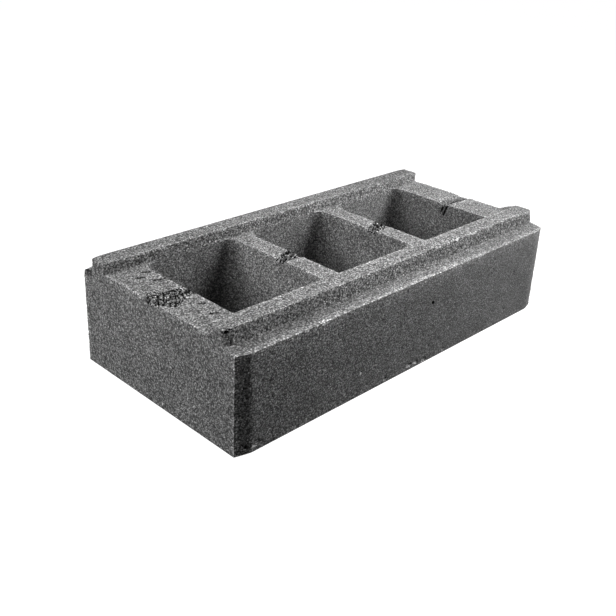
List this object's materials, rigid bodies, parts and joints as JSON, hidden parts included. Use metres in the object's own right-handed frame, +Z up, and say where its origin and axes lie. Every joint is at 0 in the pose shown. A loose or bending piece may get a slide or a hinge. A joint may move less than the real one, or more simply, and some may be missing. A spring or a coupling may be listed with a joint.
{
  "type": "concrete fence block",
  "caption": "Hollow vibropressed concrete fence block with through cells, cross webs and a ridge inside a ledge along each long face, for stacking courses and filling with concrete and bars.",
  "frame": {"origin": "middle of the bed, the flat underside", "axes": "+X along the block, +Y across it, +Z up from the bed to the ridges"},
  "size_m": [0.5, 0.25, 0.125],
  "materials": {
    "concrete": "graphite grey vibropressed concrete, matt, fine open grain"
  },
  "bodies": {
    "root": {"fence_block": "concrete"}
  },
  "joints": []
}
